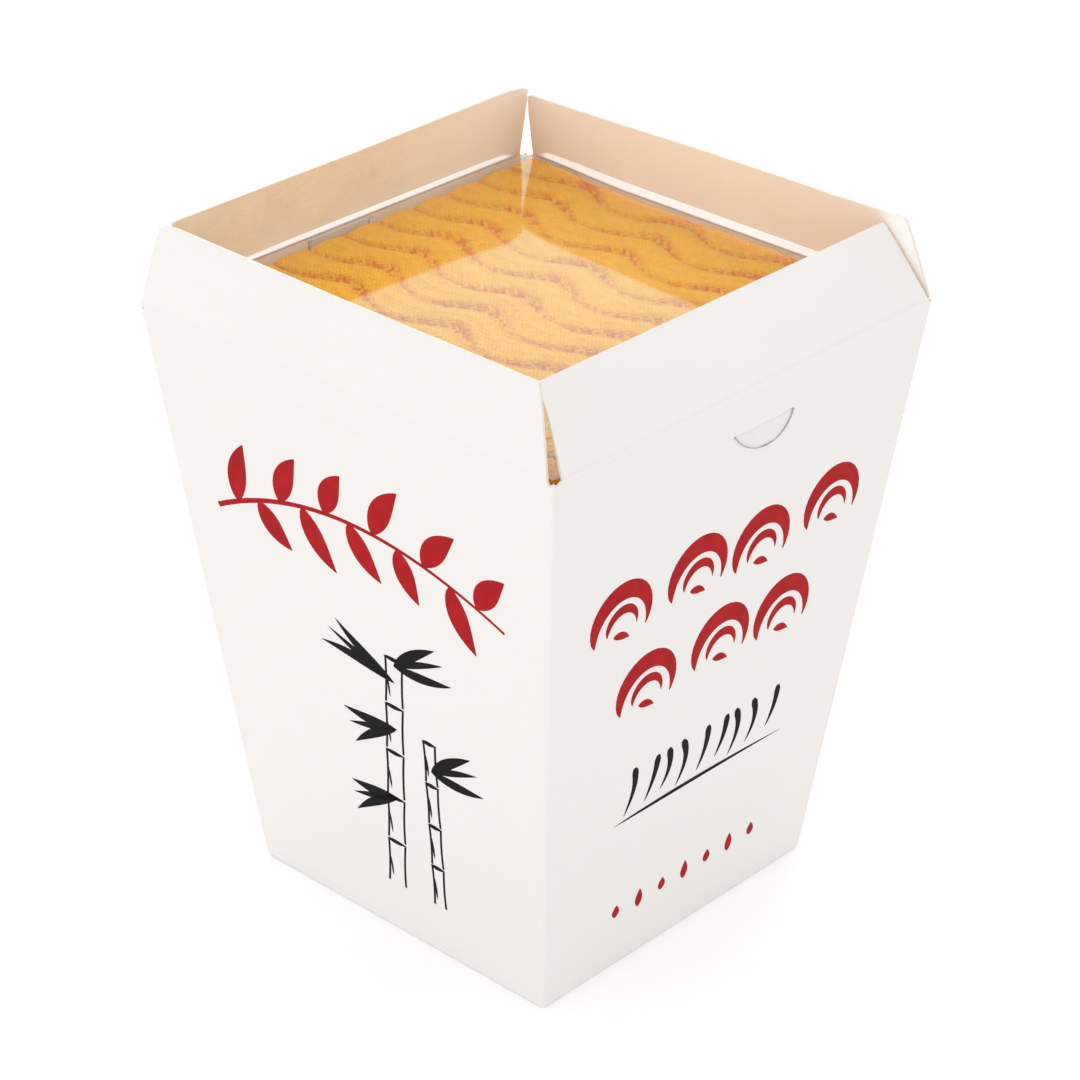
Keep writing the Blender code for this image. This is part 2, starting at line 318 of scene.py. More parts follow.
class Graph:
    """A node tree that is written with one method for every kind of node."""

    def __init__(self, tree):
        self.tree = tree

    def node(self, kind, settings=None, inputs=None, output=0):
        node = self.tree.nodes.new(kind)
        for name, value in (settings or {}).items():
            setattr(node, name, value)
        for key, value in (inputs or {}).items():
            if isinstance(key, int):
                socket = node.inputs[key]
            else:
                socket = next(s for s in node.inputs if key in (s.identifier, s.name))
            if isinstance(value, Field):
                self.tree.links.new(value.socket, socket)
            else:
                socket.default_value = value
        return Field(self, node, node.outputs[output] if len(node.outputs) else None)

    def place(self):
        return self.node("ShaderNodeTexCoord", output="Object")

    def attribute(self, name):
        return self.node("ShaderNodeAttribute", {"attribute_name": name}, output="Fac")

    def stretched(self, vector, scale):
        return self.node("ShaderNodeMapping", {}, {"Vector": vector, "Scale": scale})

    def noise(self, vector, scale, detail=3.0, roughness=0.5, distortion=0.0):
        inputs = {"Vector": vector, "Scale": scale, "Detail": detail, "Roughness": roughness}
        return self.node("ShaderNodeTexNoise", {}, {**inputs, "Distortion": distortion})

    def ramp(self, factor, low, high):
        """0 below low, 1 above high, and smooth between them."""
        return self.node(
            "ShaderNodeMapRange", {"interpolation_type": "SMOOTHSTEP"}, {"Value": factor, 1: low, 2: high}
        )

    def mix(self, factor, a, b, blend="MIX"):
        return self.node(
            "ShaderNodeMix",
            {"data_type": "RGBA", "blend_type": blend},
            {"Factor_Float": factor, "A_Color": a, "B_Color": b},
            output=2,
        )

    def bump(self, height, distance, strength=1.0):
        inputs = {"Height": height, "Distance": distance, "Strength": strength}
        return self.node("ShaderNodeBump", {}, inputs)

    def principled(self, inputs):
        return self.node("ShaderNodeBsdfPrincipled", {}, inputs)

    def mix_shaders(self, factor, first, second):
        return self.node("ShaderNodeMixShader", {}, {0: factor, 1: first, 2: second})

    def surface(self, shader):
        self.node("ShaderNodeOutputMaterial", {}, {"Surface": shader})


def opaque(colour):
    return (*colour, 1.0)


def shaded(colour, factor):
    return (*(channel * factor for channel in colour), 1.0)


def new_graph(name):
    material = bpy.data.materials.new(name)
    material.use_nodes = True
    material.node_tree.nodes.clear()
    return material, Graph(material.node_tree)


def white_board_material(settings):
    """Coated white board: faint clouds, short fibres under the coat, rubbed folds with painted shade, and a
    painted highlight on the flaps.
    """
    material, graph = new_graph("coated_white")
    place = graph.place()
    cloud = graph.noise(place, 35.0, detail=2.0)
    fibre = graph.noise(graph.stretched(place, (1.0, 1.0, 0.45)), 1500.0, detail=4.0, roughness=0.65)
    # Along the folds the coat is rubbed, and it is also painted a little darker as shade. It is rougher there
    # too.
    rubbed_and_shaded = graph.attribute("fold") * graph.ramp(graph.noise(place, 420.0, detail=4.0), 0.42, 0.7)
    paper = graph.mix(cloud * 0.6 + fibre * 0.4, shaded(settings.white, 0.992), shaded(settings.white, 1.008))
    # Painted highlight: the outside of a flap is brightened by up to 6 %, less near its crease, as if it caught
    # more light.
    highlighted = graph.mix(graph.attribute("painted_highlight"), WHITE, (1.06, 1.06, 1.06, 1.0))
    colour = graph.mix(1.0, graph.mix(rubbed_and_shaded * 0.08, paper, shaded(settings.white, 0.86)), highlighted, "MULTIPLY")
    graph.surface(graph.principled({
        "Base Color": colour,
        "Roughness": 0.46 + fibre * 0.12 + rubbed_and_shaded * 0.2,
        "Specular IOR Level": 0.35,
        "Normal": graph.bump(fibre * 0.7 + cloud * 0.3, 0.004 * MM),
    }))
    return material


def kraft_material(settings):
    """Uncoated kraft: pale fibres and dark flecks over a mottled brown, whitened in places by painted light and
    warmed near the back corner by painted orange bounce light.
    """
    material, graph = new_graph("kraft_board")
    place = graph.place()
    mottle = graph.noise(place, 90.0, detail=4.0, roughness=0.6)
    grain = graph.stretched(place, (0.5, 0.5, 1.6))
    fibre = graph.noise(grain, 1300.0, detail=5.0, roughness=0.7, distortion=0.6)
    fleck = graph.ramp(graph.noise(graph.stretched(place, (1.0, 1.0, 2.5)), 700.0, detail=1.0), 0.66, 0.74)
    base = graph.mix(graph.ramp(mottle, 0.3, 0.7), shaded(settings.kraft, 0.95), shaded(settings.kraft, 1.05))
    lit = graph.mix(graph.ramp(fibre, 0.35, 0.75) * 0.55, base, shaded(settings.kraft, 1.14))
    flecked = graph.mix(fleck * 0.2, lit, shaded(settings.kraft, 0.8))
    # Painted light: the kraft is whitened where it looks over-lit.
    painted_bright = graph.mix(graph.attribute("painted_light"), flecked, (0.955, 0.94, 0.9, 1.0))
    # Painted bounce light: an orange cast from the socks near the back corner.
    colour = graph.mix(graph.attribute("painted_bounce") * 0.8, painted_bright, (0.62, 0.30, 0.09, 1.0))
    graph.surface(graph.principled({
        "Base Color": colour,
        "Roughness": 0.72 + fibre * 0.2,
        "Specular IOR Level": 0.25,
        "Normal": graph.bump(fibre * 0.6 + mottle * 0.4, 0.03 * MM),
    }))
    return material


def cut_edge_material(settings):
    """The cut edge of the board: a pale core with the grey of its pressed layers."""
    material, graph = new_graph("cut_edge")
    layers = graph.noise(graph.place(), 2600.0, detail=3.0, roughness=0.6)
    colour = graph.mix(layers, (0.80, 0.70, 0.57, 1.0), shaded(settings.white, 0.98))
    graph.surface(graph.principled({
        "Base Color": colour,
        "Roughness": 0.75 + layers * 0.15,
        "Normal": graph.bump(layers, 0.03 * MM),
    }))
    return material


def ink_material(name, colour):
    """Printed ink: nearly even, a little thinner in small clouds, and smoother than the board."""
    material, graph = new_graph(name)
    place = graph.place()
    cloud = graph.noise(place, 260.0, detail=4.0, roughness=0.6)
    grain = graph.noise(place, 1900.0, detail=2.0)
    coverage = graph.ramp(cloud * 0.7 + grain * 0.3, 0.35, 0.7)
    graph.surface(graph.principled({
        "Base Color": graph.mix(coverage, shaded(colour, 0.88), shaded(colour, 1.16)),
        "Roughness": 0.5 + grain * 0.16,
        "Specular IOR Level": 0.1,
        "Normal": graph.bump(grain, 0.01 * MM),
    }))
    return material


def film_material(settings):
    """Clear film: mirrored light, cooler over the knit from above, a dark border of painted shade, and a milky
    fold with a painted highlight that glows.
    """
    material, graph = new_graph("clear_sheet")
    place = graph.place()
    ripple = graph.noise(place, 22.0, detail=1.0)
    scuff = graph.ramp(graph.noise(graph.stretched(place, (1.0, 6.0, 1.0)), 160.0, detail=5.0), 0.56, 0.8)
    normal = graph.bump(ripple, 0.35 * MM, 0.12)
    facing = graph.node("ShaderNodeLayerWeight", {}, {"Blend": 0.5, "Normal": normal}, output="Facing")
    mirror = settings.mirror + facing**5.0 * (1.0 - settings.mirror)
    sheen = {"Roughness": 0.02 + scuff * 0.05, "Normal": normal}
    plain = graph.node("ShaderNodeBsdfGlossy", {}, {"Color": WHITE, **sheen})
    cool = graph.node("ShaderNodeBsdfGlossy", {}, {"Color": (0.52, 0.98, 1.0, 1.0), **sheen})
    coolness = graph.attribute("over_knit") * (1.0 - graph.ramp(facing, 0.58, 0.74))
    clear = graph.node("ShaderNodeBsdfTransparent", {}, {"Color": (0.985, 0.985, 0.985, 1.0)})
    # Milky white that glows a little: a painted highlight on the folded edge.
    milky_glowing = graph.principled({
        "Base Color": (0.96, 0.95, 0.96, 1.0),
        "Roughness": 0.25 + scuff * 0.1,
        "Emission Color": WHITE,
        "Emission Strength": 0.16,
    })
    # Painted shade: the dark look of the film's cut edges and the shadow line under its fold.
    dark = graph.principled({"Base Color": (0.28, 0.26, 0.25, 1.0), "Roughness": 0.2 + scuff * 0.1})
    pane = graph.mix_shaders(mirror, clear, graph.mix_shaders(coolness, plain, cool))
    folded = graph.mix_shaders(graph.attribute("milk_and_glow"), pane, milky_glowing)
    graph.surface(graph.mix_shaders(graph.attribute("border"), folded, dark))
    return material


def yarn_material(settings):
    """Twisted yarn: plies along each stitch, an uneven dye, and a painted shade of deeper orange down in the
    furrows.
    """
    material, graph = new_graph("dyed_yarn")
    place = graph.place()
    crown = graph.attribute("crown")
    tone = graph.attribute("tone")
    ply = graph.noise(graph.stretched(place, (3.2, 1.0, 2.0)), 1500.0, detail=4.0, roughness=0.65)
    dye = graph.noise(place, 60.0, detail=2.0)
    strand = graph.ramp(ply * 0.6 + tone * 0.4, 0.25, 0.75)
    lit = graph.mix(strand, shaded(settings.yarn, 0.9), shaded(settings.yarn, 1.02))
    dyed = graph.mix(dye * 0.3, lit, shaded(settings.yarn, 0.9))
    # Painted shade: the lower the crown share, the more of the furrow's shadow colour.
    colour = graph.mix(1.0 - crown, dyed, opaque(settings.furrow_shade))
    graph.surface(graph.principled({
        "Base Color": colour,
        "Roughness": 0.82 + ply * 0.15,
        "Specular IOR Level": 0.2,
        "Sheen Weight": 0.15,
        "Sheen Roughness": 0.5,
        "Sheen Tint": (1.0, 0.75, 0.3, 1.0),
        "Normal": graph.bump(ply, 0.08 * MM),
    }))
    return material


def floor_material():
    """Matt white ground that barely glows, so it stays as bright as the surroundings."""
    material, graph = new_graph("pale_floor")
    cloud = graph.noise(graph.place(), 3.0, detail=2.0)
    graph.surface(graph.principled({
        "Base Color": graph.mix(cloud, (0.955, 0.955, 0.955, 1.0), (0.965, 0.965, 0.965, 1.0)),
        "Roughness": 0.8 + cloud * 0.1,
        "Emission Color": WHITE,
        "Emission Strength": 0.13,
    }))
    return material


def material_named(name, maker, *values):
    """The material of this name, made on its first use."""
    return bpy.data.materials.get(name) or maker(*values)


def board_materials(settings):
    return [
        material_named("coated_white", white_board_material, settings),
        material_named("kraft_board", kraft_material, settings),
        material_named("cut_edge", cut_edge_material, settings),
    ]


def mesh_object(name, mesh, materials):
    obj = bpy.data.objects.new(name, mesh)
    bpy.context.scene.collection.objects.link(obj)
    for material in materials:
        mesh.materials.append(material)
    return obj


def bmesh_object(name, bm, materials):
    mesh = bpy.data.meshes.new(name)
    bm.to_mesh(mesh)
    bm.free()
    return mesh_object(name, mesh, materials)


def joined(bm, first, second):
    """Faces between two rows of vertices."""
    for here in range(len(first) - 1):
        bm.faces.new((first[here], second[here], second[here + 1], first[here + 1]))


def baked(obj):
    """The object with its modifiers' result as its own mesh."""
    evaluated = obj.evaluated_get(bpy.context.evaluated_depsgraph_get())
    mesh = bpy.data.meshes.new_from_object(evaluated)
    mesh.name = obj.name
    obj.modifiers.clear()
    obj.data = mesh
    return obj


def thickened(obj, thickness, rim=0, inside=0, offset=-1.0, even=True):
    shell = obj.modifiers.new("thickness", "SOLIDIFY")
    shell.thickness = thickness
    shell.offset = offset
    shell.use_even_offset = even
    shell.material_offset = inside
    shell.material_offset_rim = rim
    return baked(obj)


def smoothed(obj, degrees):
    obj.data.shade_smooth()
    obj.data.set_sharp_from_angle(angle=math.radians(degrees))
    return obj


def float_layer(bm, name):
    return bm.verts.layers.float.new(name)


def turned(side):
    return Matrix.Rotation(math.radians(side.turn), 4, "Z")


def half_width(height):
    """Half the carton's outer width at a height."""
    return BASE_HALF + (CREASE_HALF - BASE_HALF) * height / CREASE_HEIGHT


def smooth_step(value):
    value = min(max(value, 0.0), 1.0)
    return value * value * (3 - 2 * value)


def swelling(side, along, height, settings):
    """How far a filled panel stands out: most in its middle, and over the slit that the film pushes open."""
    across = along / half_width(height)
    up = height / CREASE_HEIGHT
    swell = settings.bow * (1 - across**2) * math.sin(math.pi * min(up, 1.0)) ** 2
    slit_height = CREASE_HEIGHT - side.slit_drop
    if height >= slit_height:
        beside = smooth_step(1.25 - abs(along - side.slit) / SLIT_HALF)
        above = 1 - smooth_step((height - slit_height) / (side.slit_drop - settings.seam))
        swell += side.slit_push * beside * above
    return swell


def on_panel(side, along, height, settings, out=0.0):
    """The point of a side's swollen outer face this far along and up, moved out by this much."""
    stand_out = swelling(side, along, height, settings) + out
    wall = Vector((along, -half_width(height), height))
    normal = Vector((0, -math.cos(WALL_TILT), -math.sin(WALL_TILT)))
    return turned(side) @ (wall + normal * stand_out)


def body_columns(side, settings):
    """Places across a panel as shares of its flat width, closer together over the slit and at the folds."""
    slit_height = CREASE_HEIGHT - side.slit_drop
    flat = half_width(slit_height) - settings.corner
    ends = [(side.slit - SLIT_HALF) / flat, (side.slit + SLIT_HALF) / flat]
    plain = [-1 + 2 * step / 20 for step in range(21)] + [-0.975, 0.975]
    clear = [share for share in plain if min(abs(share - end) for end in ends) > 0.03]
    inner = [ends[0] + (ends[1] - ends[0]) * step / 12 for step in range(13)]
    outside = [share for share in clear if not ends[0] < share < ends[1]]
    return sorted(outside + inner)


def build_body(settings):
    """Four panels round a base, as one sheet thickened inwards, with a lens-shaped gap at each slit."""
    seam_height = CREASE_HEIGHT - settings.seam * math.cos(WALL_TILT)
    corner_steps = 6
    heights = [0.12 * MM, 0.35 * MM, BASE_ROUND] + [seam_height * step / 26 for step in range(1, 25)]
    heights += [CREASE_HEIGHT - side.slit_drop for side in SIDES.values()]
    heights += [seam_height - drop for drop in (3.2 * MM, 1.6 * MM, 0.7 * MM, 0.0)]
    heights = sorted(set(round(height, 7) for height in heights))
    bm = bmesh.new()
    fold = float_layer(bm, "fold")
    painted_light = float_layer(bm, "painted_light")

    def tucked(height):
        """How far the wall turns in under the carton at its base."""
        if height >= BASE_ROUND:
            return 0.0
        return BASE_ROUND - math.sqrt(BASE_ROUND**2 - (BASE_ROUND - height) ** 2)

    def slit_opening(side, along, height):
        """1 in the middle of the side's slit, 0 at its ends and everywhere else."""
        on_slit = abs(height - (CREASE_HEIGHT - side.slit_drop)) <= 1e-7
        if not on_slit or abs(along - side.slit) > SLIT_HALF - 1e-6:
            return 0.0
        share = (along - side.slit) / SLIT_HALF
        return max(1 - share**4, 0.0)

    loops_below = []
    loops_above = []
    for height in heights:
        below = []
        above = []
        for side in SIDES.values():
            flat = half_width(height) - settings.corner
            for share in body_columns(side, settings):
                along = share * flat
                opening = slit_opening(side, along, height)
                vert = bm.verts.new(on_panel(side, along, height, settings, -tucked(height)))
                # fold marks the upright folds, where the coat is rubbed and painted a little darker as shade.
                vert[fold] = smooth_step(1 - (flat - abs(along)) / (2.0 * MM)) * 0.6
                # Painted light: the kraft high up inside, in shade under the film, is whitened.
                vert[painted_light] = 0.15 * smooth_step((height - 112 * MM) / (6 * MM))
                below.append(vert)
                if opening:
                    gap = SLIT_GAP * opening
                    vert.co = on_panel(side, along, height - gap / 2, settings)
                    vert = bm.verts.new(on_panel(side, along, height + gap / 2, settings, SLIT_LIP * opening))
                above.append(vert)
            for step in range(1, corner_steps):
                angle = math.pi / 2 * step / corner_steps
                reach = settings.corner - tucked(height)
                x = flat + reach * math.sin(angle)
                y = -flat - reach * math.cos(angle)
                dip = FOLD_HOLLOW * math.sin(2 * angle) - FOLD_RISE if height == heights[-1] else 0.0
                vert = bm.verts.new(turned(side) @ Vector((x, y, height - dip)))
                vert[fold] = 1.0
                below.append(vert)
                above.append(vert)
        loops_below.append(below)
        loops_above.append(above)
    count = len(loops_below[0])
    for lower, upper in zip(loops_above, loops_below[1:]):
        for here in range(count):
            there = (here + 1) % count
            bm.faces.new((lower[here], lower[there], upper[there], upper[here]))
    bm.faces.new(list(reversed(loops_below[0])))
    bmesh.ops.recalc_face_normals(bm, faces=bm.faces)
    body = bmesh_object("carton_shell", bm, board_materials(settings))
    thickened(body, settings.board, rim=2, inside=1)
    return smoothed(body, 35)


def collar_path(side, settings):
    """Outward distance and height of points up a collar piece's outer face, from its seam to its rim."""
    lean = math.radians(side.lean)
    crease = Vector((CREASE_HALF, CREASE_HEIGHT))
    wall = Vector((math.sin(WALL_TILT), math.cos(WALL_TILT)))
    flap = Vector((-math.sin(lean), math.cos(lean)))
    bend = WALL_TILT + lean
    tangent = settings.crease * math.tan(bend / 2)
    path = [crease - wall * settings.seam]
    centre = crease - wall * tangent + Vector((-wall.y, wall.x)) * settings.crease
    for step in range(7):
        angle = bend * step / 6 - WALL_TILT
        path.append(centre + settings.crease * Vector((math.cos(angle), math.sin(angle))))
    for share in (0.06, 0.15, 0.3, 0.45, 0.6, 0.75, 0.88, 0.95, 0.985, 1.0):
        path.append(crease + flap * (tangent + (FLAP_HEIGHT - tangent) * share))
    return path


def build_collar(name, side, settings):
    """One flap with the strip of board that bends at its crease, both in one piece."""
    path = collar_path(side, settings)
    lean = math.radians(side.lean)
    out_normal = Vector((math.cos(lean), math.sin(lean)))
    by_the_ends = [-0.975, -0.988, -0.995, 0.975, 0.988, 0.995]
    shares = sorted([-1 + 2 * step / 40 for step in range(41)] + by_the_ends)
    bm = bmesh.new()
    fold = float_layer(bm, "fold")
    painted_light = float_layer(bm, "painted_light")
    painted_bounce = float_layer(bm, "painted_bounce")
    painted_highlight = float_layer(bm, "painted_highlight")
    rows = []
    travelled = 0.0
    for number, point in enumerate(path):
        if number:
            travelled += (point - path[number - 1]).length
        up = max((travelled - settings.seam) / FLAP_HEIGHT, 0.0)
        row = []
        for share in shares:
            end = side.high if share > 0 else side.low
            half = end.crease + (end.rim - end.crease) * up
            half -= end.waist * math.sin(math.pi * min(up, 1.0) ** 1.5)
            if travelled < settings.seam:
                half = SEAM_HALF + (end.crease - SEAM_HALF) * travelled / settings.seam
            along = share * half
            over = max(abs(along) - (half - end.radius), 0.0) / end.radius
            depth = min(end.radius, CORNER_DEPTH)
            lowered = depth * (1 - math.sqrt(max(1 - over**2, 0.0))) * smooth_step((up - 0.7) / 0.3)
            lowered -= end.rise * abs(share) * up
            if side.nick is not None:
                dent = NICK_DEPTH * math.exp(-(((along - side.nick) / NICK_HALF) ** 2))
                lowered += dent * smooth_step((up - 0.9) / 0.1)
            bowed = side.bow * (1 - share**2) * smooth_step(up * 1.5) * math.sin(math.pi * min(up, 1.0) / 2)
            flat = point + out_normal * bowed - Vector((-math.sin(lean), math.cos(lean))) * lowered
            vert = bm.verts.new(turned(side) @ Vector((along, -flat.x, flat.y)))
            # fold marks the crease, where the coat is rubbed and painted a little darker as shade.
            vert[fold] = math.exp(-(((travelled - settings.seam) / (0.5 * MM)) ** 2)) * 0.8
            # Painted light that whitens the kraft.
            vert[painted_light] = painted_light_share(name, vert.co)
            # Painted bounce light from the socks, strongest at the back corner and low down.
            if name in ("right", "back"):
                far = math.hypot(vert.co.x - CREASE_HALF, vert.co.y - CREASE_HALF)
                vert[painted_bounce] = math.exp(-far / (4.5 * MM)) * (1 - 0.6 * min(up, 1.0))
            # Painted highlight on the outside of the flap, weaker close to the crease.
            vert[painted_highlight] = FLAP_PAINTED_HIGHLIGHT[name] * (0.4 + 0.6 * smooth_step(up * 14))
            row.append(vert)
        rows.append(row)
    for lower, upper in zip(rows, rows[1:]):
        for here in range(len(shares) - 1):
            bm.faces.new((lower[here], lower[here + 1], upper[here + 1], upper[here]))
    collar = bmesh_object(f"collar_{name}", bm, board_materials(settings))
    thickened(collar, settings.board, rim=2, inside=1, even=False)
    return smoothed(collar, 40)


def painted_light_share(name, point):
    """How far painted light whitens the kraft: most on the right flap, and on the back one low down and towards
    +X.
    """
    if name == "back":
        low = smooth_step(1 - abs(point.z - CREASE_HEIGHT - 2.0 * MM) / (3.5 * MM))
        return 0.1 + 0.15 * low + 0.65 * smooth_step((point.x - 2 * MM) / (42 * MM))
    if name != "right":
        return 0.0
    front_lean = math.tan(math.radians(SIDES["front"].lean))
    front_plane = -CREASE_HALF + max(point.z - CREASE_HEIGHT, 0.0) * front_lean
    return 0.75 + 0.17 * smooth_step((front_plane - point.y + 5.0 * MM) / (6.0 * MM))


def lid_rise(x, y):
    """How far the film and the knit under it rise to the back edge, which starts earlier on the left."""
    start = (12 + 11 * smooth_step((x - 2 * MM) / (38 * MM))) * MM
    return FILM_RISE * smooth_step((y - start) / (46 * MM - start))


def film_height(x, y, settings):
    return settings.height - FILM_SAG + lid_rise(x, y)


def build_film(settings):
    """The pane with its cut corners and low folded-up edge."""
    bm = bmesh.new()
    milk_and_glow = float_layer(bm, "milk_and_glow")
    border = float_layer(bm, "border")
    over_knit = float_layer(bm, "over_knit")
    steps = 36
    reach = settings.half_side - FILM_FOLD
    grid = [[None] * (steps + 1) for _ in range(steps + 1)]
    for i in range(steps + 1):
        for j in range(steps + 1):
            x = reach * (2 * i / steps - 1)
            y = reach * (2 * j / steps - 1)
            overlap = abs(x) + abs(y) - (2 * reach - FILM_CUT)
            if overlap > 0:
                x -= math.copysign(overlap / 2, x)
                y -= math.copysign(overlap / 2, y)
            grid[i][j] = bm.verts.new((x, y, film_height(x, y, settings)))
            grid[i][j][over_knit] = smooth_step((reach - 2.5 * MM - max(abs(x), abs(y))) / (3.0 * MM))
    for first, second in zip(grid, grid[1:]):
        joined(bm, first, second)
    for side in SIDES.values():
        back = turned(side).inverted()
        rim = [vert for row in grid for vert in row if (back @ vert.co).y < -reach + 1e-6]
        rim.sort(key=lambda vert: (back @ vert.co).x)
        lip_rows(bm, side, rim, milk_and_glow, border)
    bmesh.ops.remove_doubles(bm, verts=bm.verts, dist=0.002 * MM)
    bmesh.ops.recalc_face_normals(bm, faces=bm.faces)
    film = bmesh_object("film_pane", bm, [material_named("clear_sheet", film_material, settings)])
    thickened(film, settings.thickness, offset=0.0)
    return smoothed(film, 60)


def lip_rows(bm, side, rim, milk_and_glow, border):
    """The fold up along one side: a quarter turn, then a low lip that is highest in its middle."""
    back = turned(side).inverted()
    ends = max(abs((back @ v.co).x) for v in rim)
    lean = math.radians(90 - side.lip_lean)
    previous = rim
    rows = 8
    for number in range(1, rows + 1):
        row = []
        for vert in rim:
            local = back @ vert.co
            share = min(abs(local.x) / ends, 1.0)
            lip = side.lip * math.sqrt(max(1 - share**14, 0.0)) + 0.02 * MM
            if side is SIDES["back"]:
                lip *= 1 - 0.4 * smooth_step(local.x / ends)
            turn = lean * min(number / 4, 1.0)
            out = FILM_FOLD * math.sin(turn)
            up = FILM_FOLD * (1 - math.cos(turn))
            if number > 4:
                out += lip * (number - 4) / 4 * math.cos(lean)
                up += lip * (number - 4) / 4 * math.sin(lean)
            new = bm.verts.new(turned(side) @ Vector((local.x, local.y - out, local.z + up)))
            # Painted highlight on the fold, milky and glowing.
            new[milk_and_glow] = 0.9 * smooth_step((number - 2) / 3) * smooth_step((1 - share) * 25)
            # Painted shadow line just below the fold.
            new[border] = 0.35 * smooth_step(1 - abs(number - 1.5) / 2)
            row.append(new)
        joined(bm, previous, row)
        previous = row


def tongue_path(side, slit_height, clearance, settings, board):
    """Outward distance, height and depth in the half-moon of points down a tongue, from film to tip."""
    path = []
    inner = half_width(settings.height) - board.board - clearance
    for step in range(7):
        angle = math.pi / 2 * (1 - step / 6)
        out = inner - TONGUE_BEND + TONGUE_BEND * math.cos(angle)
        path.append((out, settings.height - 0.2 * MM - TONGUE_BEND + TONGUE_BEND * math.sin(angle), 0.0))
    below_bend = settings.height - TONGUE_BEND
    for share in (0.3, 0.6, 1.0):
        height = below_bend - (below_bend - slit_height - TONGUE_STEP) * share
        path.append((half_width(height) - board.board - clearance, height, 0.0))
    for share in (0.25, 0.5, 0.75):
        height = slit_height + TONGUE_STEP * (1 - 2 * share)
        inside = half_width(height) - board.board - clearance
        path.append((inside + (board.board + 2 * clearance) * share, height, 0.0))
    for step in range(0, 15):
        drop = TIP_DEPTH * math.sin(math.pi / 2 * step / 14)
        height = slit_height - TONGUE_STEP - drop
        stand_out = swelling(side, side.tongue, height, board)
        path.append((half_width(height) + stand_out + clearance, height, drop))
    return path


def build_tongue(name, side, settings, board):
    """A tongue of film: down inside its panel, out through the slit, and a half-moon on the panel's face."""
    bm = bmesh.new()
    milk_and_glow = float_layer(bm, "milk_and_glow")
    border = float_layer(bm, "border")
    slit_height = CREASE_HEIGHT - side.slit_drop
    clearance = 0.06 * MM + settings.thickness / 2
    columns = 28
    previous = None
    for out, height, drop in tongue_path(side, slit_height, clearance, settings, board):
        half = TONGUE_HALF
        if drop or height <= slit_height - TONGUE_STEP + 1e-9:
            above_tip = TIP_DEPTH - drop
            half = math.sqrt(max(2 * TIP_RADIUS * above_tip - above_tip**2, 0.0))
        half = max(half, 0.25 * MM)
        row = []
        for column in range(columns + 1):
            share = math.sin(math.pi * (column / columns - 0.5))
            along = side.tongue + TIP_SKEW * drop + half * share
            vert = bm.verts.new(turned(side) @ Vector((along, -out, height)))
            from_edge = half * (1 - abs(share))
            from_tip = TIP_DEPTH - drop if drop else 1.0
            # Painted shade along the tongue's cut edge.
            vert[border] = 0.75 * smooth_step(1 - min(from_edge, from_tip) / (0.38 * MM))
            # A faint milky veil on the tongue that glows a little.
            vert[milk_and_glow] = 0.05 if height < slit_height else 0.12
            row.append(vert)
        if previous:
            joined(bm, previous, row)
        previous = row
    tongue = bmesh_object(f"film_tongue_{name}", bm, [material_named("clear_sheet", film_material, settings)])
    thickened(tongue, settings.thickness * 0.8, offset=0.0)
    return smoothed(tongue, 60)


# The knit's edges: how far each stays from the panel, and the radius that it rolls over with
EdgeRoll = namedtuple("EdgeRoll", "gap radius")
ROLLS = {
    "+x": EdgeRoll(0.2 * MM, 1.0 * MM),
    "-x": EdgeRoll(0.9 * MM, 3.2 * MM),
    "+y": EdgeRoll(0.6 * MM, 2.8 * MM),
    "-y": EdgeRoll(0.9 * MM, 3.0 * MM),
}
KNIT_INSIDE = half_width(KNIT_LEVEL) - 0.5 * MM


def furrow_place(y, settings):
    """The x of a furrow at this y; the others lie whole pitches away. It swings back faster than it goes."""
    phase = TAU * (y - BULGE) / settings.wave
    return -0.1 * MM + settings.sway * math.cos(phase + 0.22 * math.sin(phase))


def rib_relief(x, y, settings):
    """Height over the crown (0 or less), and 0 in a furrow to 1 on a rib, at this flat place of the knit."""
    phase = TAU * (y - BULGE) / settings.wave
    across = (x - furrow_place(y, settings)) / settings.pitch
    beside = (across - math.floor(across + 0.5)) * settings.pitch
    strength = 0.72 + 0.28 * math.cos(phase - 0.75)
    width = (1.15 + 0.4 * math.cos(phase - 0.2)) * MM
    groove = strength * math.exp(-((abs(beside) / width) ** 2.4))
    crown = 0.35 * (2 * beside / settings.pitch) ** 2
    swell = 0.2 * MM * math.sin(x * 61 + 1.3) * math.cos(y * 53 - 0.4)
    return -settings.depth * (groove + 0.35 - crown) + swell, 1 - groove


def rolled(place, plus, minus):
    """A place across the flat knit as its place across the carton, its drop, and how flat it still lies."""
    roll = plus if place > 0 else minus
    flat = KNIT_INSIDE - roll.gap - roll.radius
    over = abs(place) - flat
    if over <= 0:
        return place, 0.0, 1.0
    angle = min(over / roll.radius, math.pi / 2)
    hanging = max(over - roll.radius * math.pi / 2, 0.0)
    out = flat + roll.radius * math.sin(angle)
    return math.copysign(out, place), roll.radius * (1 - math.cos(angle)) + hanging, 1 - angle / (math.pi / 2)


def corner_rounded(x, y):
    """The square plan's corners pulled in to arcs."""
    radius = FRONT_CORNER if x < 0 and y < 0 else KNIT_CORNER
    over_x = abs(x) - (KNIT_INSIDE - radius)
    over_y = abs(y) - (KNIT_INSIDE - radius)
    if over_x <= 0 or over_y <= 0:
        return x, y
    pull = 1 - max(over_x, over_y) / math.hypot(over_x, over_y)
    return x - math.copysign(over_x * pull, x), y - math.copysign(over_y * pull, y)


